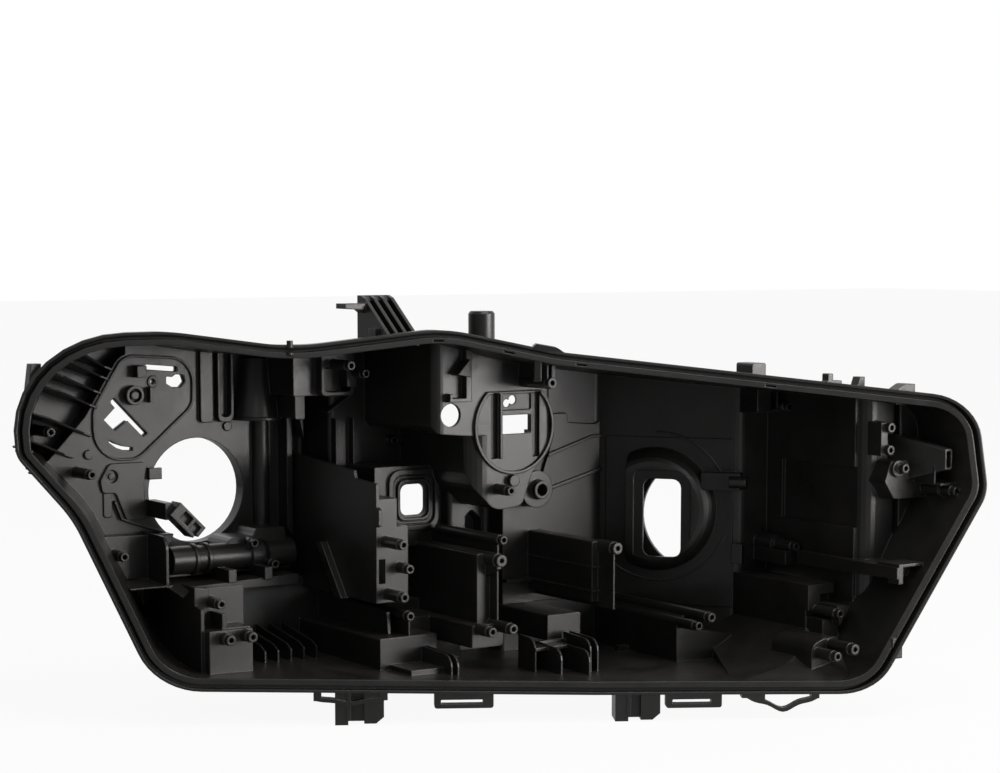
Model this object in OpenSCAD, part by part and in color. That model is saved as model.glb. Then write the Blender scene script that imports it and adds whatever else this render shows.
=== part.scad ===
// Back housing of a car headlamp, moulded in one piece of black plastic.
// Frame: +Y is the mould's draw, from the open lens side into the housing, +Z is up and
// +X runs along the car's front towards its middle. The origin is the centre of the round
// service opening, on the inner face of the wall that it goes through.

/* [Walls] */
// Thickness of every wall
wall = 3; // [2.4:0.1:3.4]
// Thickness of the stiffening ribs
rib_t = 1.6; // [1.2:0.1:2]

/* [Lens rim] */
// Sweep of the lens plane back towards the car's side, in degrees
sweep = 30; // [29:0.5:31]
// Rake of the lens plane, top backwards, in degrees
rake = 8.7; // [8.2:0.1:9.2]
// Width of the rim band round the opening
rim_w = 10; // [9:0.5:11]
// Depth of the rim band
rim_d = 13; // [11:1:16]
// Width of the glue channel in the rim
channel_w = 3.4; // [3:0.2:4]
// Depth of the glue channel
channel_d = 5; // [4:1:8]

/* [Service openings] */
// Radius of the round service opening
service_r = 42; // [38:0.5:43]
// Length of the collar behind the round service opening
collar_l = 12; // [8:1:16]
// Radius of the outer ring behind the inboard service window
ring_r = 45; // [43:1:47]
// Width of the inboard service window
window_w = 32; // [28:1:34]
// Side of the square sealed window
window_s = 26; // [22:1:28]

/* [Screw bosses] */
// Outer radius added to every boss
boss_extra = 0; // [-0.3:0.1:0.3]
// Radius of the screw's pilot hole
pilot_r = 1.9; // [1.5:0.1:2.2]
// Depth of the pilot hole
pilot_d = 10; // [6:1:12]

/* [Fixing lugs] */
// Height of the two locating feet under the rim
foot_h = 20; // [16:1:24]
// Radius of the fixing hole in the top bracket
fix_r = 3.5; // [3:0.25:4]

/* [Hidden] */
$fn = 32;
black = [0.1, 0.1, 0.105];
// Where the lens plane crosses the Y axis
lens_y = -128.5;
// Angle at which the outboard side wall leans inwards behind the rim
side_a = 27;
// Deepest and foremost Y that any wall reaches
back_y = 60;
front_y = -470;

// Outer edge of the rim seen along the draw: corners as [x, z, radius]
lens_corners = [
    [-87, -138, 42], [-131, -10, 90], [-163, 36, 20], [-171, 126.5, 80], [-57, 130, 110],
    [22, 118, 140], [122, 132, 90], [196, 114, 110], [475, 77, 34], [476, 5, 36],
    [386, -147, 42], [200, -145, 0]];

// The stepped back wall seen from above: corners as [x, y, radius]
plan_corners = [
    [-300, -620, 0], [-300, 0, 0], [97, 0, 4], [97, -45, 4], [174, -45, 4], [174, -102, 4],
    [212, -102, 4], [212, -121, 4], [308, -121, 3], [381, -217, 12], [414, -217, 2],
    [414, -332, 10], [443, -332, 1], [443, -328, 0.6], [446, -328, 0.6], [446, -335, 1],
    [600, -335, 0], [600, -620, 0]];

// The drop-shaped recess of the outboard lamp
drop_corners = [[-88, 28, 24], [-88, 68, 22], [-62, 109, 16], [-2, 105, 20], [-3, 68, 14], [-51, 28, 20]];

// Screw bosses as [x, z, y of the tip, y of the foot, outer radius]
bosses = [
    [-130, 53, -16, 24, 4.2], [-103, 20, -30, 2, 4.2], [-78, -45, -32, 2, 4.2],
    [28, -40, -46, 2, 4.2], [42, -57, -54, 2, 4.2], [-34, -76, -108, -84, 4.4],
    [-33, -102, -121, -106, 4.6], [-15, -101, -122, -106, 4.6], [90, -33, -170, -141, 4.4],
    [103, -54, -158, -141, 4.2], [92, -74, -168, -141, 4.4], [107, -92, -152, -52, 4.2],
    [145, -100, -210, -188, 4.4], [163, -99, -212, -100, 4.6], [166, -32, -194, -100, 4],
    [160, -47, -200, -100, 5.4], [246, -40, -234, -210, 5.2], [310, -104, -256, -118, 4.2],
    [318, -97, -262, -118, 4.6], [410, 65, -245, -215, 4], [405, -47, -262, -215, 4.2],
    [423.5, 54, -350, -330, 4.5], [423, 36.6, -350, -330, 4.5], [431.6, 22.4, -358, -330, 4.4],
    [462, 5, -383, -333, 4.5], [388, -91, -334, -300, 4.2], [362.4, -118.4, -360, -335, 4.4],
    [375.5, -113.4, -365, -335, 4.9], [213, 88, -192, -119, 5], [188, 3, -172, -149, 4.2],
    [87, 101, -98, -60, 4.2], [104, 94, -92, -60, 4], [154, 36, -53, -43, 4.4],
    [167, 35, -53, -43, 4.4], [235, -1, -147, -119, 8]];

function unit(v) = v / norm(v);
function xy(c) = [c[0], c[1]];

// The corner b between its neighbours a and c, rounded to radius r in n steps
function bend(a, b, c, r, n) = r <= 0 ? [b] :
    let (u = unit(a - b), w = unit(c - b), half = acos(u * w) / 2,
         m = b + unit(u + w) * r / sin(half),
         p = b + u * r / tan(half) - m,
         q = b + w * r / tan(half) - m,
         arc = (cross(p, q) > 0 ? 1 : -1) * (180 - 2 * half))
    [for (i = [0 : n]) let (t = arc * i / n)
        m + [p.x * cos(t) - p.y * sin(t), p.x * sin(t) + p.y * cos(t)]];

// A closed outline from its rounded corners
function outline(c, n = 5) = let (k = len(c))
    [for (i = [0 : k - 1])
        each bend(xy(c[(i + k - 1) % k]), xy(c[i]), xy(c[(i + 1) % k]), c[i][2], n)];

// A point of the lens edge seen along the leaning side wall
function lean(p) = [p.x * cos(side_a)
    - (lens_y - p.x * tan(sweep) + p.y * tan(rake) / cos(sweep)) * sin(side_a), p.y];

// A flat XZ shape carried along the draw from y0 to y1
module draw(y0, y1) translate([0, y1, 0]) rotate([90, 0, 0]) linear_extrude(y1 - y0) children();

// A flat YZ shape carried sideways from x0 to x1
module across(x0, x1) translate([x0, 0, 0]) rotate([90, 0, 90]) linear_extrude(x1 - x0) children();

// A flat XY shape carried upwards from z0 to z1
module rise(z0, z1) translate([0, 0, z0]) linear_extrude(z1 - z0) children();

module block(x0, x1, y0, y1, z0, z1) translate([x0, y0, z0]) cube([x1 - x0, y1 - y0, z1 - z0]);

// A round along the draw, at x and z, from y0 to y1
module round_bar(x, z, y0, y1, r, n = 32) translate([x, y1, z]) rotate([90, 0, 0])
    cylinder(y1 - y0, r = r, $fn = n);

// A rectangle with rounded corners
module soft_rect(x0, x1, z0, z1, r)
    polygon(outline([[x0, z0, r], [x1, z0, r], [x1, z1, r], [x0, z1, r]], 4));

// All that lies between the lens plane moved back by d0 and by d1
module lens_slab(d0, d1) translate([0, lens_y, 0]) rotate([-rake, 0, -sweep])
    translate([-700, d0, -400]) cube([1700, d1 - d0, 800]);

// The rim's outline moved inwards by d
module lens_shape(d) offset(delta = -d) polygon(outline(lens_corners, 9));

// The same outline carried back along the leaning side wall
module leaning(d) rotate([0, 0, -side_a]) draw(-900, 400)
    offset(delta = -d) polygon([for (p = outline(lens_corners, 9)) lean(p)]);

module drop_shape(d) offset(delta = -d) polygon(outline(drop_corners, 6));

// The stepped plan moved outwards by d
module plan(d) rise(-200, 200) offset(delta = d) polygon(outline(plan_corners, 4));

// The pocket outboard of the drop's slanting edge
module side_pocket(d) offset(delta = d) polygon(
    [[-60, 110], [-72, 98], [-95, 62], [-126, 30], [-220, 30], [-220, 150], [-60, 150]]);

// The hollow that the lamps stand in, or with d the body round it
module room(d) intersection() {
    draw(front_y, back_y) lens_shape(rim_w - d);
    leaning(rim_w - d);
    lens_slab(d > 1 ? 2 : -90, 600);
    union() {
        plan(d);
        draw(-60, 16 + d) side_pocket(d);
    }
}

// A box that stands into the room from the back, with its face at y0
module box_in(x0, x1, z0, z1, y0, y1, r = 1.5) draw(y0, y1) soft_rect(x0, x1, z0, z1, r);

// Plain boxes as [x0, x1, z0, z1, y of the face, y of the back]
boxes = [
    [79, 131, -160, -107, -152, 4], [120, 212, -160, -88, -95, -42],
    [150, 162, -100, -43, -180, -42], [139, 168, -115, -97, -190, -90], [118, 168, -160, -97, -128, -90],
    [237, 250, -84, -36, -212, -118], [210, 242, -115.6, -95, -190, -118],
    [-45, -8, -160, -96, -108, 4], [4, 98, -160, -73, -25, 4], [56, 100, 76, 140, -60, 4]];

module boxes_in() {
    for (b = boxes) box_in(b[0], b[1], b[2], b[3], b[4], b[5]);
    box_in(112, 174, -46, 19, -90, -42);
}

module boxes_core() for (b = boxes)
    if (b[1] - b[0] > 11) block(b[0] + wall, b[1] - wall, b[4] + wall, back_y, b[2] + wall, b[3] - wall);

// Free space behind the plate of the square window
module plate_back() block(112 + wall, 182, -90 + wall, back_y, -46 + wall, 19 - wall);

// Outboard lamp's seat: the drop with its two ridges, sockets and light cut-outs
module drop_seat() {
    draw(-2, 2) difference() { drop_shape(-1); drop_shape(0.6); }
    draw(0, 7) drop_shape(-3);
    draw(1.5, 5) difference() { drop_shape(3); drop_shape(4.2); }
    round_bar(-55, 78, -7, 6, 7.5);
    block(-54, -46, -9, 6, 92, 101);
    round_bar(-37, 88, -1, 6, 4.6);
    block(-42, -39.5, -6, 6, 72, 84);
    draw(2.8, 5) polygon([[-49, 74], [-34, 53.5], [-13, 69], [-14, 70.4], [-34, 55.6], [-47.6, 75]]);
    translate([-18, 0, 92]) rotate([0, 40, 0]) block(-9, 9, 1, 6, -1, 1);
}

module drop_holes() {
    draw(-10, back_y) polygon([[-73, 74], [-70, 76.5], [-42, 47.5], [-45.5, 44.5], [-59, 58],
        [-70, 50.5], [-79, 59.5], [-69.5, 68.5], [-72.6, 72]]);
    draw(-10, back_y) polygon([[-75.5, 42], [-69, 37.2], [-62, 34.8], [-55, 34.4], [-54.4, 36.8],
        [-62, 37.8], [-69.4, 40.4], [-74.2, 43.4]]);
    draw(-10, back_y) polygon(outline(
        [[-43, 97.8, 1.2], [-43, 101.6, 1.2], [-15, 99, 1.2], [-15.4, 95.2, 1.2]], 3));
    draw(-10, back_y) polygon(outline([[-25, 91.6, 1], [-20, 91, 1], [-17, 93, 1], [-10, 92.6, 2],
        [-8, 87, 1.6], [-12, 82.6, 1.6], [-20, 83, 1.6], [-25, 86, 1]], 3));
    round_bar(-37, 88, -10, back_y, 2.2);
    difference() {
        round_bar(-55, 78, -12, -2, 5.2);
        round_bar(-55, 78, -6.5, 0, 3.2);
    }
}

// Six raking ribs that brace the pocket between the rim and the drop
module raking_ribs() intersection() {
    room(1);
    lens_slab(4, 300);
    for (s = [[-148, 46, 42], [-146, 67, 57], [-136, 87, 52], [-130, 97, 49], [-119, 106, 44],
              [-106, 110, 34]])
        translate([s[0], 0, s[1]]) rotate([0, 20, 0]) linear_extrude(rib_t)
            polygon([[-12, -44], [s[2] - 6, -4], [s[2] + 2, -2.4], [s[2] + 2, 20], [-12, 20]]);
}

// Small datum pips round the service opening and its lock tab
module service_trim() {
    for (p = [[-93, 33, 3.6], [-50, -1, 4.2], [28, 50, 3.6]]) round_bar(p[0], p[1], -2, 2, p[2]);
    block(-43, -32, -4, 1, 11, 20);
}

// Embossed plate outboard of the service opening, with its dimple and tongue
module embossed_plate() {
    draw(-2.4, 2) difference() {
        polygon(outline([[-84, 12, 4], [-76, 25, 5], [-44, 25, 3], [-47, 8, 4], [-46, -20, 2],
            [-62, -20, 3], [-71, 2, 3], [-82, 2, 3]], 4));
        translate([-74, 15]) circle(5);
    }
    draw(-1.2, 2) soft_rect(-81, -74, -17, 3, 2);
    round_bar(-74, 15, -1.2, 2, 2.4);
    draw(-4, 2) polygon([[-72, -4], [-66, -18], [-27, -32.5], [-27, -34], [-67, -19.5], [-73, -5]]);
}

// Latch tower at the edge of the service opening
module latch() {
    block(-44, -37, -34, 1, -18, -5);
    translate([-28, -33, -19.5]) rotate([0, 45, 0]) difference() {
        block(-15, 15, -8, 7, -6.5, 6.5);
        block(-7, 2, -9, -3, -3, 4.5);
        block(5, 12, -9, -4, -4, 4);
        block(12, 16, -9, 8, -7, -3);
    }
}

// Lower outboard panel with its screw boss and the upright web beside it
module lower_panel() {
    draw(-13, 2) polygon([[-140, -29], [-27, -32], [-30, -41], [-30, -67], [-140, -62]]);
    across(-49.5, -47) polygon(outline([[2, -30, 0], [-45, -30, 10], [-45, -70, 0], [2, -70, 0]], 5));
    across(-80, -44) polygon([[2, -65], [-45, -68], [-45, -69.4], [2, -68]]);
}

// Horizontal round trunk that carries the levelling screw, on its ledge
module trunk() {
    translate([-40, -30, -51]) rotate([90, 0, 90]) rotate_extrude() polygon([
        [0, 0], [11, 0], [11, 19], [12.4, 19], [12.4, 22], [10.4, 22], [10.4, 30], [12.4, 30], [12.4, 33],
        [11, 33], [11, 68], [13.6, 68], [13.6, 79], [11.4, 84], [11.4, 108], [0, 108]]);
    block(-40, 68, -30, 4, -64, -44);
    draw(-55, 4) polygon([[-33, -69], [52, -66], [62, -66], [62, -74], [-33, -74]]);
    for (x = [-2, 30]) block(x, x + 7, -58, -20, -68, -58);
    draw(-34, 4) polygon(outline(
        [[8, -56, 0], [8, -36, 8], [34, -36, 4], [34, -30, 3], [62, -30, 3], [62, -56, 0]], 4));
}

// Cone over a half-round column, and the upright web beside them
module cone_column() {
    translate([52, -5, 57]) cylinder(48, 20, 12.5);
    translate([52, -5, 55]) cylinder(2.5, r = 21);
    translate([57, -2, -40]) cylinder(100, r = 7);
    draw(-16, 4) polygon([[74, 56], [79, 56], [79, -40], [74, -34]]);
    draw(-26, 4) polygon([[60, 140], [84, 140], [84, 40], [80, 58], [68, 58]]);
    // raised panels between the drop and the cone
    draw(-4, 2) soft_rect(3, 14, 54, 130, 3);
    draw(-7, 2) difference() {
        soft_rect(17, 31, 54, 130, 5);
        soft_rect(19, 28.6, 58, 140, 4);
    }
}

// Wall behind the low beam: ribs, cup and studs between the roof and the tower
module middle_wall() {
    draw(-70, -40) difference() {
        soft_rect(76, 106, 76, 140, 4);
        soft_rect(79, 103, 79, 99, 3);
    }
    block(97, 106, -74, -43, 83, 99);
    for (x = [99, 115]) block(x, x + rib_t, -52, -43, 18, 56);
    translate([103, 0, 68]) rotate([0, -31, 0]) block(-13, 13, -52, -43, -1, 1);
    draw(-50, 4) soft_rect(63, 72, 57, 78, 1.5);
}

// Upright tower inboard of the levelling screw
module tower() {
    across(82, 111) polygon([[4, -22], [-142, -22], [-142, -81], [4, -81]]);
    across(82, 101) polygon([[4, 2], [-142, 0], [-142, -24], [4, -24]]);
    across(82, 82 + wall) polygon([[4, 28], [-108, 20], [-110, 14], [-142, 12], [-142, -6], [-146, -8],
        [-146, -20], [-140, -22], [4, -22]]);
    // raking stay on the tower's outboard face
    across(76, 83) polygon([[-58, -42], [-66, -40], [-98, -82], [-88, -82]]);
}

module tower_core() {
    across(82 + wall, 111 - wall) polygon([[back_y, -25], [-139, -25], [-139, -78], [back_y, -78]]);
    across(82 + wall, 101 - wall) polygon([[back_y, -1], [-139, -3], [-139, -30], [back_y, -30]]);
}

module tower_cuts() block(84.5, 90, -150, -100, -66, -47);

// Sealed square window on its own step
module square_window() {
    draw(-93, -86) difference() { soft_rect(124, 171, -33, 16, 10); soft_rect(128, 167, -29, 12, 8); }
    draw(-91, -86) difference() { soft_rect(129, 166, -28, 11, 8); soft_rect(131, 164, -26, 9, 7); }
    draw(-93, -86) difference() { soft_rect(132, 163, -25, 8, 7); soft_rect(134, 161, -23, 6, 6); }
}

module square_hole() {
    c = (window_s - 26) / 2;
    draw(-100, back_y) soft_rect(136 - c, 159 + c, -21 - c, 4 + c, 6);
}

// Pod that carries the beam module's disc: an upper and a lower bulge, drawn moved in by d
module pod_high(d) offset(delta = -d) polygon(outline(
    [[130, 150, 0], [130, 49, 8], [162, 46, 8], [240, 46, 0], [240, 150, 0]]));
module pod_low(d) offset(delta = -d) polygon(outline([[163, 100, 0], [164, 8, 30], [186, -14, 14],
    [212, -12, 8], [222, 14, 6], [240, 34, 4], [240, 100, 0]]));

// The two bulges seen from above
module pod_high_plan(d) offset(delta = -d) polygon(outline(
    [[130, 90, 0], [130, -151, 8], [240, -151, 4], [240, 90, 0]]));
module pod_low_plan(d) offset(delta = -d) polygon(outline(
    [[160, 90, 0], [163, -151, 16], [240, -151, 4], [240, 90, 0]], 6));

module pod() {
    intersection() {
        draw(-151, -40) pod_high(0);
        rise(-100, 200) pod_high_plan(0);
    }
    intersection() {
        draw(-151, -42) pod_low(0);
        rise(-100, 200) pod_low_plan(0);
    }
}

module pod_core() difference() {
    union() {
        intersection() {
            draw(-160, back_y) pod_high(wall);
            rise(-100, 200) pod_high_plan(wall);
        }
        intersection() {
            draw(-160, back_y) pod_low(wall);
            rise(-100, 200) pod_low_plan(wall);
        }
    }
    for (x = [183, 223]) block(x - 2, x + 8, -160, -145, 25, 81);
}

// Disc, hook, bracket and studs on the pod
module pod_trim() {
    draw(-153.5, -148) difference() {
        intersection() { translate([204, 52]) circle(38, $fn = 64); translate([150, 0]) square([110, 80]); }
        translate([204, 52]) circle(35.6, $fn = 64);
    }
    draw(-153.5, -148) translate([178, 78]) square([52, 2]);
    draw(-153.5, -148) translate([190, 27]) square([2, 52]);
    // hook that hangs from the roof over the round hole
    draw(-158, -148) polygon([[155, 118], [155, 76.4], [142.6, 76.4], [142.6, 80], [140, 80],
        [140, 73.6], [160, 73.6], [160, 106], [163, 118]]);
    draw(-162, -148) polygon([[145, 95], [156, 107], [156, 93]]);
    // rib from the roof to the boss beside the disc
    block(209, 209 + rib_t, -190, -130, 90, 120);
    round_bar(202, 9, -156, -148, 4.6);
    block(217, 221, -185, -148, 86, 112);
    // half-round plate that carries the big ring boss
    draw(-140, -118) intersection() {
        translate([235, -1]) circle(15, $fn = 48);
        translate([220, -30]) square([40, 60]);
    }
}

module pod_cuts() {
    for (x = [183, 223]) block(x, x + 6, -160, -147.4, 27, 79);
    draw(-160, -149.4) soft_rect(192, 221, 65, 78, 2);
    draw(-170, back_y) soft_rect(192, 221, 46, 61, 1.5);
    rise(46, 61) polygon([[215, -146], [222, -146], [241.5, -117], [215, -117]]);
    round_bar(204, 73, -160, back_y, 3.6);
    round_bar(198.5, 70.4, -160, back_y, 3.2);
    round_bar(235, -1, -150, -126, 4.8);
    round_bar(145, 63, -170, back_y, 9);
    draw(-106, -89) polygon(outline(
        [[190, -50, 0], [190, -24, 0], [196, -18, 3], [206, -27, 4], [206, -50, 0]], 4));
}

// Raised plate on the wall inboard of the pod
module panel() {
    draw(-124, -118) polygon([[212, -95], [212, -12], [244, -12], [262, 40], [262, 58], [275, 58],
        [277, 50], [304, 48], [309, 50], [309, -95]]);
    draw(-126, -118) polygon([[256, 26], [300, 39], [309, 39], [309, 37], [300, 37], [256, 23]]);
    draw(-126, -118) polygon([[259, -1], [309, 12], [309, 9], [259, -4]]);
    block(212, 262, -130, -118, -77, -74);
}

// Inboard service window: a dome on the slanted wall, with its ridge and arm
module window_collar() on_slant() {
    difference() {
        intersection() {
            dome(0);
            block(29, 200, -40, 2, -120, 90);
        }
        draw(-20, -14.2) soft_rect(36, 84, -68, 12, 6);
    }
    // thin ridge round the dome, and the arm that reaches the column
    draw(-1.4, 1) difference() {
        translate([52, -19]) circle(62, $fn = 72);
        translate([52, -19]) circle(60.6, $fn = 72);
        translate([-40, -60]) square([92, 120]);
        translate([40, -42]) square([90, 50]);
    }
    block(92, 124, -12, 1, -3, 11);
    translate([116, -11, 4]) rotate([0, 90, 0]) cylinder(14, r = 5);
    block(116.5, 125.5, -7, 1, -63, -47);
    // the wall stands out a little below this line
    block(8, 116, -1, 1, -100, 38);
}

// The slanted inboard wall as a flat frame: X along it, Y through it
module on_slant() translate([308, -121, 0]) rotate([0, 0, -53]) children();

// Dome round the inboard service window, on the slanted wall, drawn moved in by d
module dome(d) translate([51.5, 0, -21]) rotate([90, 0, 0]) rotate_extrude($fn = 72)
    polygon(outline([[0, -20, 0], [51 - d, -20, 0], [51 - d, 15 - d, 14.9 - d], [0, 15 - d, 0]], 6));

module window_cuts() on_slant() {
    draw(-20, -8) soft_rect(44, 44 + window_w, -59, 5, 7);
    intersection() {
        dome(wall);
        block(29 + wall, 200, -40, 30, -120, 90);
        union() {
            block(0, 200, -40, -1.2, -120, 90);
            // the round hole in the wall behind
            round_bar(85, -25, -4, 30, ring_r, 64);
        }
    }
}

// Bosses, boxes and beam of the inboard end
module inboard_end() {
    // stepped boss by the column and the block under it
    round_bar(405, -47, -238, -215, 7.4);
    block(398, 412, -256, -215, -62, -51);
    // hanging box and rib above the column
    block(382, 396, -238, -215, 61, 90);
    block(404, 404 + rib_t, -236, -215, 64, 90);
    block(382, 412, -232, -215, 60, 62.5);
    // raised frame round the sunk panel of the inner wall
    block(411, 416, -236, -215, -110, 90);
    across(411, 416) polygon([[-322, 90], [-322, 22], [-234, 22], [-234, 90]]);
    across(411, 416) polygon([[-322, -26], [-322, -110], [-234, -110], [-234, -26]]);
    // beam along the inner wall, out to the rim
    difference() {
        across(405, 460) polygon([[-262, -50], [-378, -51], [-378, -60], [-262, -61]]);
        block(411.5, 470, -390, -367, -66, -51);
    }
    block(407, 411.5, -378, -366, -64, -50);
    block(407, 440, -378, -355, -51, -48.6);
    // boss blocks and the arm of the lowest boss
    block(417, 424, -345, -330, 32, 58);
    draw(-349, -330) polygon(outline(
        [[418, 12, 2], [428, -2, 2], [462, -2, 2], [462, 8, 0], [440, 28, 3], [424, 28, 4]], 3));
    round_bar(430, 22, -352, -330, 6.6);
    round_bar(462, 6, -368, -330, 6.6);
    // long tapered plug socket, with a shelf and a web under it
    hull() {
        draw(-332, -330) polygon([[436, 8], [436, 48], [466, 44], [466, 8]]);
        draw(-379, -377) soft_rect(452.4, 460, 22, 38, 1.4);
    }
    block(450, 470, -377, -340, 9.4, 11.4);
    block(449, 450.8, -371, -340, 10, 25);
}

module inboard_cuts() draw(-390, -362) soft_rect(454, 458.4, 23.6, 36.4, 1);

// Lower lamp carrier beside the inboard end: an L-shaped face on two legs
module low_carrier() {
    difference() {
        union() {
            block(379, 406, -306, -200, -160, -71);
            block(400, 418, -294, -200, -160, -79);
        }
        // pocket open to the inboard side, over a face that stands a little back
        block(391.5, 420, -310, -294, -95, -79);
        block(370, 420, -310, -303, -160, -91);
    }
    // round-ended block of the two lower bosses, and the plate above it
    draw(-337, -290) polygon(outline(
        [[356, -160, 0], [356, -112, 8], [368, -108, 5], [384, -107, 5], [384, -160, 0]], 5));
    draw(-322, -290) polygon([[380, -96], [397, -98], [397, -114], [380, -112]]);
    // gusset beside the upper boss
    draw(-330, -300) polygon([[388, -85], [402, -86], [391, -101]]);
    ramp();
}

module low_carrier_core() block(379 + wall, 418 - wall, -285, back_y, -157, -71 - wall);

// Floor that climbs from the rim and the plinth to the low carrier
module ramp() intersection() {
    draw(-400, -110) polygon(outline([[418, -104, 0], [381, -104, 4], [352, -127, 60],
        [300, -136.4, 0], [300, -170, 0], [418, -170, 0]]));
    at_rim(379, -135) across(-100, 80) polygon(outline([[500, -103, 0], [62, -103, 10],
        [32, -126, 50], [2, -137.4, 0], [2, -170, 0], [500, -170, 0]]));
}

// Long inboard plinth on the floor with its sloping top
module long_plinth() draw(-232, -118) polygon([[307, -160], [306, -104], [313, -99], [318, -95],
    [322, -99], [330, -112], [364, -119], [361, -160]]);

module long_plinth_core() draw(-229, back_y) polygon([[310, -160], [309, -106], [315, -102], [318, -99.6],
    [320, -101], [328, -114.6], [361, -121.6], [358, -160]]);

// Low outboard corner: pedestal, upright plate and the comb of floor ribs
module low_corner() {
    across(-48, -3) polygon([[4, -62], [-70, -75], [-84, -66], [-84, -97], [4, -97]]);
    draw(-90, -80) polygon([[-48, -64], [-36, -66], [-36, -82], [-44, -90], [-48, -90]]);
    across(-48, -45) polygon([[4, -60], [-100, -80], [-100, -160], [4, -160]]);
    block(-32, -28, -104, -80, -98, -84);
    block(-32, -8, -104, -80, -98, -95);
    for (i = [0 : 4]) let (x = 16 + 11.5 * i) across(x, x + rib_t)
        polygon([[-20, -108], [-74, -117], [-82, -121], [-82, -160], [-20, -160]]);
    block(-10, 80, -86, -20, -160, -131);
}

module low_corner_core() across(-45, -6)
    polygon([[back_y, -66], [-66, -78], [-80, -72], [-80, -94], [back_y, -94]]);

// Ribs and steps on the floor in the middle, below the upright posts
module floor_trim() {
    // stepped front and thin webs of the upright posts
    across(158, 162) polygon([[-178, -44], [-196, -44], [-196, -54], [-178, -62]]);
    for (s = [[162, -190, -46, -97], [243, -232, -44, -88]])
        block(s[0], s[0] + rib_t, s[1], -100, s[3], s[2]);
    for (z = [-57, -76]) block(236, 252, -214.5, -120, z, z + 1.4);
    // fins that stand on the floor
    for (f = [[182, -213, -190, -109], [194, -231, -196, -115], [212, -243, -186, -116],
              [221, -232, -196, -110], [227, -233, -196, -110], [117, -194, -150, -118],
              [121, -197, -150, -118]])
        across(f[0], f[0] + rib_t)
            polygon(outline([[f[1], -160, 0], [f[1], f[3], 9], [f[2], f[3] + 2, 0], [f[2], -160, 0]], 4));
    block(297, 307, -168, -162, -160, -131);
    block(182, 212, -214, -190, -118, -115);
    block(194, 228, -200, -196, -140, -113);
    across(96, 99) polygon([[-40, -86], [-134, -90], [-136, -108], [-40, -108]]);
    block(88, 117, -183, -150, -136, -128);
    block(106, 106 + rib_t, -150, -44, -110, -92);
    block(165, 165 + rib_t, -186, -44, -45, -32);
}

// Bracket above the roof: hook tongue on four gussets
module top_bracket() {
    for (x = [89, 97, 105, 113]) across(x, x + 3)
        polygon([[-104, 118], [-104, 152], [-108, 156], [-114, 154], [-152, 124], [-152, 118]]);
    block(89, 116, -108, -104, 116, 152);
    across(89, 116) polygon([[-104, 146], [-104, 156], [-108, 156], [-112, 152], [-108, 146]]);
    difference() {
        draw(-118, -104) polygon([[70, 150], [90, 150], [90, 142], [86, 145], [70, 146]]);
        translate([79, -111, 130]) cylinder(30, r = fix_r);
    }
    block(86, 99, -136, -126, 118, 131);
    block(118, 122, -120, -116, 118, 130);
}

// Posts and small lugs above the roof
module top_posts() {
    translate([185, -134, 100]) cylinder(41, r = 10.5);
    translate([185, -134, 141]) cylinder(2, 10.5, 9);
    // round-cornered post, then the small lugs towards the inboard end
    draw(-236, -216) soft_rect(378, 392, 80, 100.5, 2);
    draw(-322, -315) soft_rect(382, 387, 79, 96, 1);
    draw(-322, -316) soft_rect(380, 396, 79, 90.5, 1);
    draw(-322, -314) polygon([[411, 76], [411, 82], [415, 92.5], [420, 92.5], [420, 75.5]]);
    draw(-350, -340) polygon(outline(
        [[427, 72, 0], [427, 83, 3], [437, 88, 8], [447, 87.4, 1], [447, 71, 0]], 4));
    translate([20, -120, 112]) cylinder(11, r = 2.4);
    // saddle over the rim, with its inner leg
    at_rim(181, 118) {
        draw(-0.6, rim_d)
            polygon([[0, 109], [0, 118.2], [2.4, 120], [17, 117.4], [19, 116.4], [24, 113], [24, 104]]);
        block(0.6, 6, 1, 12, 91, 110);
    }
}

// Lugs at the outboard end and the inboard lower corner
module side_lugs() {
    draw(-23, -15) polygon([[-151, 84], [-148, 106], [-140, 106], [-140, 100], [-144, 94], [-146, 84]]);
    for (i = [0 : 6]) translate([-158 + 2 * i, -21, 45 - 3.4 * i]) rotate([0, -20, 0])
        block(-4, 6, -3, 4, -0.7, 0.7);
    block(400, 410, -380, -369, -121, -105);
}

// A place under the rim, where it crosses x, with X along the rim and Y behind its face
module at_rim(x, z = -145) translate([x, lens_y - x * tan(sweep) + z * tan(rake) / cos(sweep), 0])
    rotate([0, 0, -sweep]) children();

// Wavy strap under the rim, w long, that hangs down by sag
module wavy_strap(w, z, sag) let (n = 18) draw(1, 8) polygon(concat(
    [for (i = [0 : n]) [w * i / n, z - 3.2 - sag * sin(180 * i / n) * (1 + 0.22 * cos(720 * i / n))]],
    [for (i = [n : -1 : 0]) [w * i / n, z - sag * sin(180 * i / n) * (1 + 0.22 * cos(720 * i / n))]]));

// Open loop under the rim
module loop_lug(w, h) draw(1, 9) difference() {
    soft_rect(0, w, -146 - h, -138, 2);
    soft_rect(5, w - 8, -142.8 - h, -139.4 - h, 0.8);
}

// Locating foot: a web between two cheeks
module foot(w) let (z = -146 - foot_h) {
    block(0, 10, 2, 26, z, -140);
    block(9, w - 8, 8, 22, z + 2, -140);
    draw(2, 24) polygon([[w - 15, -140], [w - 15, z + 1], [w - 6, z + 1], [w, z + 6], [w, -140]]);
    block(9, 12, 1, 20, z + 4, -140);
}

module bottom_lugs() {
    at_rim(28) foot(37);
    at_rim(212.5) foot(34.5);
    at_rim(93) loop_lug(45, 8);
    at_rim(246) loop_lug(43, 10);
    at_rim(14) {
        wavy_strap(56, -143.4, 3.5);
        for (x = [0, 50]) block(x, x + 6, 1, 10, -147, -136);
    }
    at_rim(300) {
        wavy_strap(56, -146, 9);
        draw(1, 10) polygon([[-4, -138], [-4, -149], [2, -149.2], [10, -153], [14, -152], [14, -138]]);
        block(50, 56, 1, 10, -150, -138);
    }
}

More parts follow.
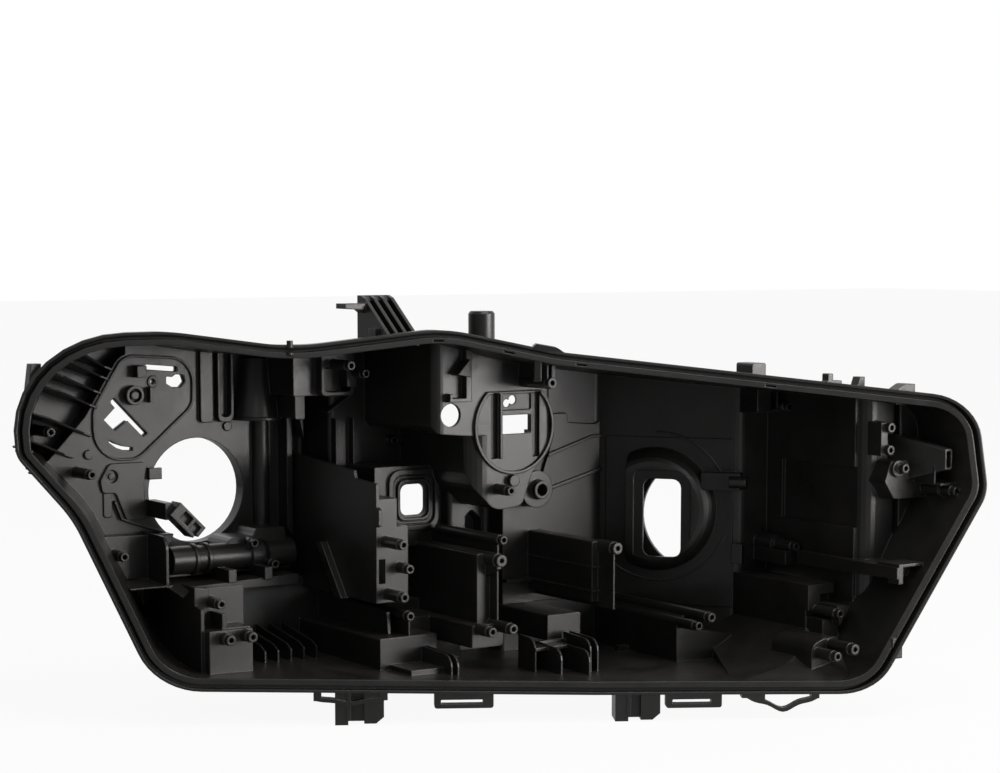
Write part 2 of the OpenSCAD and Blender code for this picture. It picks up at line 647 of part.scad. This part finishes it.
module boss_solids() for (b = bosses) {
    round_bar(b[0], b[1], b[2] + 5, b[3], b[4] + boss_extra, 24);
    round_bar(b[0], b[1], b[2], b[3], b[4] + boss_extra - 0.7, 24);
}

module boss_holes() for (b = bosses) round_bar(b[0], b[1], b[2] - 1, b[2] + pilot_d, pilot_r, 24);

// Rim band with its glue channel
module rim() intersection() {
    draw(front_y, back_y) difference() { lens_shape(0); lens_shape(rim_w); }
    leaning(-0.1);
    lens_slab(0, rim_d);
}

module channel() intersection() {
    draw(front_y, back_y) difference() { lens_shape(2.2); lens_shape(2.2 + channel_w); }
    lens_slab(-5, channel_d);
}

// Short slots along the top of the rim, inside the channel
module rim_slots() intersection() {
    draw(front_y, back_y) difference() { lens_shape(7.4); lens_shape(8.8); }
    lens_slab(-5, 4);
    for (x = [115, 161, 208, 333]) block(x, x + 7, front_y, back_y, 60, 140);
}

// Everything that stands inside the room
module fittings() intersection() {
    room(1);
    union() {
        boxes_in();
        drop_seat();
        embossed_plate();
        lower_panel();
        trunk();
        cone_column();
        middle_wall();
        tower();
        square_window();
        pod();
        pod_trim();
        panel();
        window_collar();
        inboard_end();
        low_carrier();
        long_plinth();
        low_corner();
        floor_trim();
        boss_solids();
    }
}

// The hollows behind the boxes, open at the back
module cores() intersection() {
    draw(front_y, back_y) lens_shape(rim_w);
    leaning(rim_w);
    union() {
        boxes_core();
        plate_back();
        tower_core();
        pod_core();
        long_plinth_core();
        low_carrier_core();
        low_corner_core();
    }
}

module housing_body() difference() {
    union() {
        difference() {
            union() {
                room(wall);
                round_bar(0, 0, 0, collar_l, service_r + 4, 64);
                draw(0, 7) drop_shape(-3);
                block(186, 210, -100, -86, -54, -14);
            }
            room(0);
            draw(-2, 4) drop_shape(0.4);
        }
        rim();
        fittings();
        raking_ribs();
        service_trim();
        latch();
        top_bracket();
        top_posts();
        side_lugs();
        bottom_lugs();
    }
    channel();
    rim_slots();
    cores();
    drop_holes();
    tower_cuts();
    square_hole();
    pod_cuts();
    window_cuts();
    inboard_cuts();
    boss_holes();
    round_bar(0, 0, -0.5, back_y, service_r, 64);
}

module housing() color(black) housing_body();

housing();
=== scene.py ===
"""Back housing of a car headlamp, moulded in one piece of black plastic, on a plain white floor.

The moulding is the CAD node, unchanged. This script gives it its material, and makes the
camera, the floor, the world and the lamps. Everything is in metres, in the CAD frame.
"""
import math

import bpy
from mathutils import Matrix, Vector


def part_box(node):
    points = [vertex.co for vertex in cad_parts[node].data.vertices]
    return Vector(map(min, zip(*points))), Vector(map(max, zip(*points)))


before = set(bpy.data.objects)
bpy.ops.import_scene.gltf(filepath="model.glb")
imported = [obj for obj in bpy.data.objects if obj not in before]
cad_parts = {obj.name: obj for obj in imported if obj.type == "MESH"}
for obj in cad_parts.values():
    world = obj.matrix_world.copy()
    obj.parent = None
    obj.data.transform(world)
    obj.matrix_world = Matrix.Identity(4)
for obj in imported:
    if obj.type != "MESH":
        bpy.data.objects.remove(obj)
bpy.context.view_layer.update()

MM = 0.001
WHITE = (1, 1, 1, 1)
NONE_TO_ALL = (0.0, 1.0)

# The photograph's viewpoint
YAW = math.radians(34)               # how far the camera stands to the outboard side of the draw
ELEVATION = math.radians(6.5)
AIM = Vector((148, -215, -6)) * MM
DISTANCE = 1800 * MM
FRAME_WIDTH, FRAME_HEIGHT = 1000, 773
FOCAL_COLUMNS = 2368                 # focal length, in columns of the frame
AIM_ROW = 511                        # row of the frame that the aim falls on
SENSOR_WIDTH = 36
CLIP_NEAR, CLIP_FAR = 0.01, 60

# Lamps: name, place, width and height, power, colour. The big front lamp stands to the
# inboard side, where the walls that face the lens mirror it.
LAMPS = [
    ("front", (1.35, -1.75, 0.26), (1.1, 0.85), 34, (1, 0.965, 0.955)),
    ("top", (0.35, -0.85, 1.5), (1.4, 0.7), 12, (1, 1, 1)),
    ("rim", (-0.9, -2.0, 1.1), (0.6, 0.6), 3, (1, 1, 1)),
]

# World
WORLD_LIGHT = 0.3                    # strength for rays that are neither seen nor mirrored
BACKDROP_WAY = (0.55, 0.82, 0.16)    # direction from the object to the white backdrop
BACKDROP_FADE = (0.2, 0.85)          # cosine to it at which the dim room ends, and white starts
DIM_ROOM = 0.07                      # share of the step from WORLD_LIGHT to white that the room takes

# Floor
FLOOR_REACH = 12.0                   # from the origin to each side
PAPER = (0.86, 0.86, 0.86, 1)
FLOOR_WHITE = 0.93                   # share of plain white for the camera; the rest takes the shadow
FLOOR_FADE = (-0.4, 0.9)             # X at which the mirrored floor is dimmest, and is white
DIM_FLOOR = 0.08                     # strength of the mirrored floor where it is dimmest

# Plastic: its textures, with each Scale in repeats a metre
GRAIN = {"Scale": 1300.0, "Detail": 2.0, "Roughness": 0.6}
CLOUDS = {"Scale": 22.0, "Detail": 5.0, "Roughness": 0.62, "Distortion": 0.6}
SPECKLE_SCALE = 420.0
DRAG_STRETCH = (700, 14, 700)        # repeats a metre by axis, so the marks run along the draw
DRAG = {"Scale": 1.0, "Detail": 3.0, "Roughness": 0.55}

# Plastic: where the edges are, and where the dust and painted light from above are
EDGE_RADIUS = 0.0012
EDGE_TURN = (0.995, 0.86)            # cosine of the turn at which an edge starts, and is full
DUST_AND_TOP_LIGHT_SLOPE = (0.6, 0.97)            # Z of the normal at which the dust and painted top light start, and are full
DUST_AND_TOP_LIGHT_PATCHES = (0.3, 0.7), (0.2, 0.75)

# Plastic: its blacks, and the shares of them that the clouds and the speckle give
DARK_BLACK, PALE_BLACK = (0.0080, 0.0073, 0.0069, 1), (0.0135, 0.0124, 0.0117, 1)
# The lighter black for edges is wear and a painted highlight.
# The lighter black for faces that look up is dust and painted light from above.
WORN_AND_HIGHLIGHT_BLACK, DUST_AND_TOP_LIGHT_BLACK = (0.034, 0.032, 0.030, 1), (0.029, 0.026, 0.024, 1)
PALE_PATCHES = (0.35, 0.72), NONE_TO_ALL
WORN_AND_HIGHLIGHT_FLECKS = (0.1, 0.6), (0.9, 0.3)

# Plastic: the roughness that the clouds give, and what the rest adds to it
ROUGH_PATCHES = (0.3, 0.75), (0.25, 0.37)
SPECKLE_ROUGHER, EDGE_SHINIER, DUST_AND_TOP_LIGHT_DULLER = 0.08, -0.07, 0.06
PLASTIC_IOR = 1.5


def add_camera():
    """The photograph's viewpoint."""
    view = Vector((math.sin(YAW) * math.cos(ELEVATION),
                   math.cos(YAW) * math.cos(ELEVATION),
                   -math.sin(ELEVATION)))
    data = bpy.data.cameras.new("camera")
    data.sensor_width = SENSOR_WIDTH
    data.lens = FOCAL_COLUMNS / FRAME_WIDTH * SENSOR_WIDTH
    data.shift_y = (AIM_ROW - FRAME_HEIGHT / 2) / FRAME_WIDTH
    data.clip_start, data.clip_end = CLIP_NEAR, CLIP_FAR
    camera = bpy.data.objects.new("camera", data)
    camera.location = AIM - DISTANCE * view
    camera.rotation_euler = (-view).to_track_quat("Z", "Y").to_euler()
    bpy.context.collection.objects.link(camera)
    bpy.context.scene.camera = camera


def add_lamp(name, place, size, power, colour):
    """A soft rectangular lamp, turned to the object."""
    data = bpy.data.lights.new(name, "AREA")
    data.shape = "RECTANGLE"
    data.size, data.size_y = size
    data.energy = power
    data.color = colour
    lamp = bpy.data.objects.new(name, data)
    lamp.location = place
    lamp.rotation_euler = (Vector(place) - AIM).to_track_quat("Z", "Y").to_euler()
    bpy.context.collection.objects.link(lamp)


class Nodes:
    """Short calls that build the node tree of a material or a world."""

    def __init__(self, owner):
        owner.use_nodes = True
        self.tree = owner.node_tree
        self.tree.nodes.clear()

    def add(self, kind, inputs=None, **settings):
        """A node with its settings. Each input is given a socket to link or a plain value."""
        node = self.tree.nodes.new(kind)
        for key, value in settings.items():
            setattr(node, key, value)
        for key, value in (inputs or {}).items():
            self.feed(value, node.inputs[key])
        return node

    def feed(self, value, target):
        if isinstance(value, bpy.types.NodeSocket):
            self.tree.links.new(value, target)
        else:
            target.default_value = value

    def product(self, first, second):
        return self.add("ShaderNodeMath", {0: first, 1: second},
                        operation="MULTIPLY").outputs["Value"]

    def larger(self, first, second):
        return self.add("ShaderNodeMath", {0: first, 1: second},
                        operation="MAXIMUM").outputs["Value"]

    def add_scaled(self, base, share, amount):
        """base + share * amount"""
        return self.add("ShaderNodeMath", {0: share, 1: amount, 2: base},
                        operation="MULTIPLY_ADD").outputs["Value"]

    def cosine(self, first, second):
        """Of the angle between two directions of length 1."""
        return self.add("ShaderNodeVectorMath", {0: first, 1: second},
                        operation="DOT_PRODUCT").outputs["Value"]

    def along(self, axis, vector):
        return self.add("ShaderNodeSeparateXYZ", {"Vector": vector}).outputs[axis]

    def ramp(self, source, before, after):
        """source, taken from the range before to the range after and held at the ends."""
        return self.add("ShaderNodeMapRange", {
            "Value": source, "From Min": before[0], "From Max": before[1],
            "To Min": after[0], "To Max": after[1]}).outputs["Result"]

    def mix(self, share, first, second):
        """Two colours, each a socket or plain numbers, mixed by share."""
        node = self.add("ShaderNodeMix", {"Factor": share}, data_type="RGBA")
        for side, colour in (("A", first), ("B", second)):
            self.feed(colour, next(i for i in node.inputs if i.name == side and i.type == "RGBA"))
        return next(o for o in node.outputs if o.type == "RGBA")

    def bump(self, height, normal, strength, distance):
        return self.add("ShaderNodeBump", {
            "Height": height, "Normal": normal, "Strength": strength,
            "Distance": distance}).outputs["Normal"]

    def mirrored(self, path):
        """1 for a ray that comes off or through something shiny."""
        return self.larger(path.outputs["Is Glossy Ray"], path.outputs["Is Transmission Ray"])

    def finish(self, shader, kind="ShaderNodeOutputMaterial"):
        self.add(kind, {"Surface": shader})


def black_plastic():
    """Fine-grained black plastic with flow clouds, drag marks along the mould's draw, shiny edges
    lightened in flecks by wear and a painted highlight, and faces looking up lightened by dust and
    painted light from above."""
    material = bpy.data.materials.new("black_plastic")
    n = Nodes(material)
    place = n.add("ShaderNodeTexCoord").outputs["Object"]
    true_normal = n.add("ShaderNodeNewGeometry").outputs["Normal"]

    grain = n.add("ShaderNodeTexNoise", {"Vector": place, **GRAIN}).outputs["Fac"]
    clouds = n.add("ShaderNodeTexNoise", {"Vector": place, **CLOUDS}).outputs["Fac"]
    speckle = n.add("ShaderNodeTexVoronoi",
                    {"Vector": place, "Scale": SPECKLE_SCALE}).outputs["Distance"]
    stretched = n.add("ShaderNodeMapping",
                      {"Vector": place, "Scale": DRAG_STRETCH}).outputs["Vector"]
    drag = n.add("ShaderNodeTexNoise", {"Vector": stretched, **DRAG}).outputs["Fac"]

    # Edges show where the softened normal leaves the true one
    soft_normal = n.add("ShaderNodeBevel", {"Radius": EDGE_RADIUS}, samples=6).outputs["Normal"]
    edge = n.ramp(n.cosine(soft_normal, true_normal), EDGE_TURN, NONE_TO_ALL)

    # Faces that look up are lighter, more so in patches: dust, and painted light from above
    upward = n.ramp(n.along("Z", true_normal), DUST_AND_TOP_LIGHT_SLOPE, NONE_TO_ALL)
    dust_and_top_light = n.product(upward, n.ramp(clouds, *DUST_AND_TOP_LIGHT_PATCHES))

    tint = n.mix(n.ramp(clouds, *PALE_PATCHES), DARK_BLACK, PALE_BLACK)
    # Edges lighter in flecks: wear, and a painted highlight
    worn_and_highlight = n.mix(n.product(edge, n.ramp(speckle, *WORN_AND_HIGHLIGHT_FLECKS)), tint, WORN_AND_HIGHLIGHT_BLACK)
    # Faces that look up lighter in patches: dust, and painted light from above
    colour = n.mix(dust_and_top_light, worn_and_highlight, DUST_AND_TOP_LIGHT_BLACK)

    rough = n.ramp(clouds, *ROUGH_PATCHES)
    for share, amount in ((speckle, SPECKLE_ROUGHER), (edge, EDGE_SHINIER), (dust_and_top_light, DUST_AND_TOP_LIGHT_DULLER)):
        rough = n.add_scaled(rough, share, amount)

    marked = n.bump(drag, soft_normal, strength=0.12, distance=0.0003)
    grained = n.bump(grain, marked, strength=0.3, distance=0.00025)
    body = n.add("ShaderNodeBsdfPrincipled", {
        "Base Color": colour, "Roughness": rough, "Normal": grained, "IOR": PLASTIC_IOR})
    n.finish(body.outputs["BSDF"])
    return material


def pale_floor():
    """A white floor with the object's soft shadow. Its reflection fades on the outboard side."""
    material = bpy.data.materials.new("pale_floor")
    n = Nodes(material)
    path = n.add("ShaderNodeLightPath")
    camera_ray = path.outputs["Is Camera Ray"]
    across = n.along("X", n.add("ShaderNodeTexCoord").outputs["Object"])
    strength = n.larger(camera_ray, n.ramp(across, FLOOR_FADE, (DIM_FLOOR, 1.0)))
    seen = n.ramp(camera_ray, NONE_TO_ALL, (0.0, FLOOR_WHITE))
    paper = n.add("ShaderNodeBsdfDiffuse", {"Color": PAPER})
    glow = n.add("ShaderNodeEmission", {"Strength": strength})
    both = n.add("ShaderNodeMixShader", {
        "Fac": n.larger(seen, n.mirrored(path)),
        1: paper.outputs["BSDF"], 2: glow.outputs["Emission"]})
    n.finish(both.outputs["Shader"])
    return material


def add_floor():
    """A flat floor at the object's lowest point."""
    lowest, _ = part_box("housing")
    corners = [(x * FLOOR_REACH, y * FLOOR_REACH, lowest[2])
               for x, y in ((-1, -1), (1, -1), (1, 1), (-1, 1))]
    mesh = bpy.data.meshes.new("floor")
    mesh.from_pydata(corners, [], [(0, 1, 2, 3)])
    mesh.materials.append(pale_floor())
    floor = bpy.data.objects.new("floor", mesh)
    bpy.context.collection.objects.link(floor)


def set_world():
    """White for the camera. A mirrored ray sees white behind the object and a dim room before it."""
    world = bpy.data.worlds.new("studio")
    bpy.context.scene.world = world
    n = Nodes(world)
    path = n.add("ShaderNodeLightPath")
    towards = n.cosine(n.add("ShaderNodeTexCoord").outputs["Generated"], BACKDROP_WAY)
    room = n.ramp(towards, BACKDROP_FADE, (DIM_ROOM, 1.0))
    white = n.larger(path.outputs["Is Camera Ray"], n.product(n.mirrored(path), room))
    strength = n.ramp(white, NONE_TO_ALL, (WORLD_LIGHT, 1.0))
    sky = n.add("ShaderNodeBackground", {"Color": WHITE, "Strength": strength})
    n.finish(sky.outputs["Background"], "ShaderNodeOutputWorld")


def dress_housing():
    """Every slot of the moulding takes the black plastic."""
    plastic = black_plastic()
    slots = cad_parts["housing"].data.materials
    for index in range(len(slots)):
        slots[index] = plastic


add_camera()
add_floor()
set_world()
dress_housing()
for lamp in LAMPS:
    add_lamp(*lamp)

bpy.context.scene.view_settings.view_transform = "Standard"
